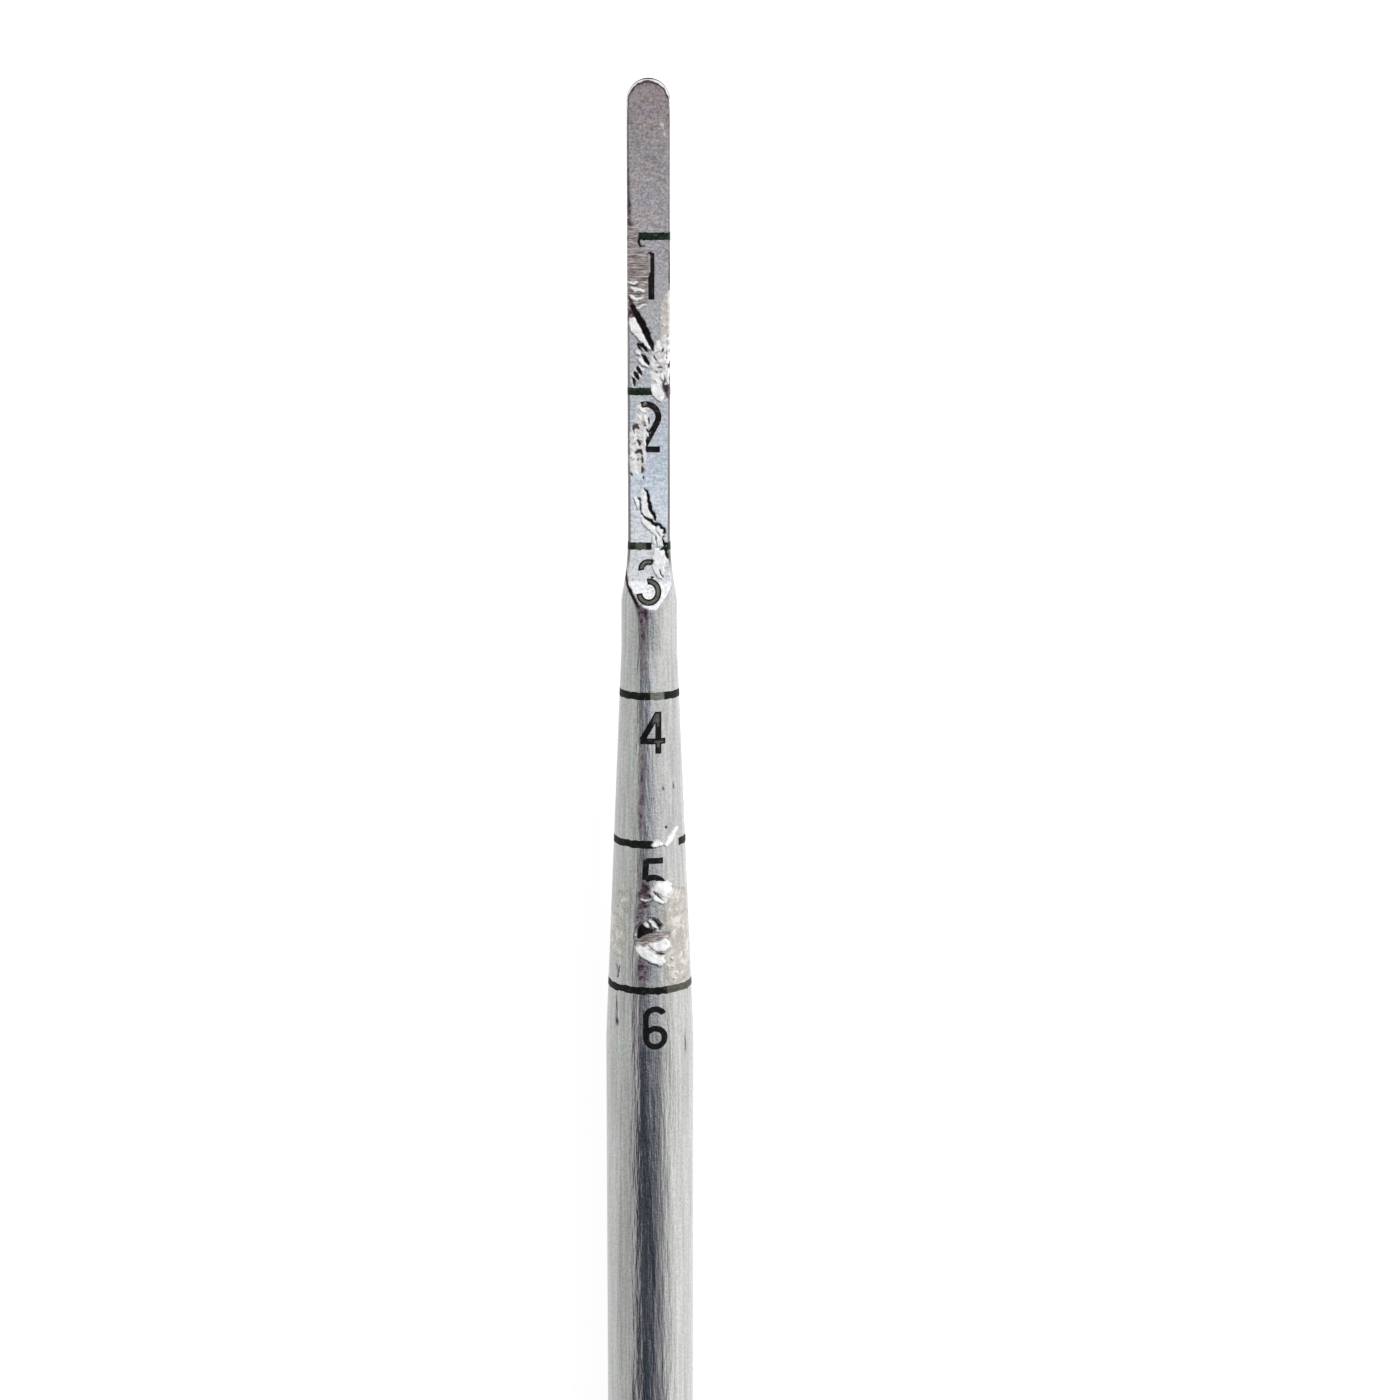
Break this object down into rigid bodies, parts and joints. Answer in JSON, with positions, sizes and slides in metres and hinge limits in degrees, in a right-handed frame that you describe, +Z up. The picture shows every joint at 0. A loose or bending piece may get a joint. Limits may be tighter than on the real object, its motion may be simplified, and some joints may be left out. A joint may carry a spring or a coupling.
{
  "type": "graduated dental probe",
  "caption": "Slim steel hand probe: flat round-nosed blade flaring through a cone to a round shank, dark centimetre bands with numerals, hollow eight-sided handle.",
  "frame": {"origin": "middle of the bounding box, on the table that the handle rests on", "axes": "+Y along the tool towards its tip, +Z up out of the blade's numbered face, +X to the right"},
  "size_m": [0.0094, 0.19, 0.0095],
  "materials": {
    "rod_steel": "drawn and polished steel, tarnished and chipped near the tip",
    "scale_enamel": "dark worn marking fill, matt",
    "handle_steel": "satin turned steel",
    "pin_steel": "plain ground steel"
  },
  "bodies": {
    "root": {"probe_rod": "rod_steel", "band_1": "scale_enamel", "band_2": "scale_enamel", "band_3": "scale_enamel", "band_4": "scale_enamel", "band_5": "scale_enamel", "band_6": "scale_enamel", "numeral_1": "scale_enamel", "numeral_2": "scale_enamel", "numeral_3": "scale_enamel", "numeral_4": "scale_enamel", "numeral_5": "scale_enamel", "numeral_6": "scale_enamel", "nose_piece": "handle_steel", "cross_pin": "pin_steel", "handle_tube": "handle_steel", "end_plug": "handle_steel"}
  },
  "joints": []
}
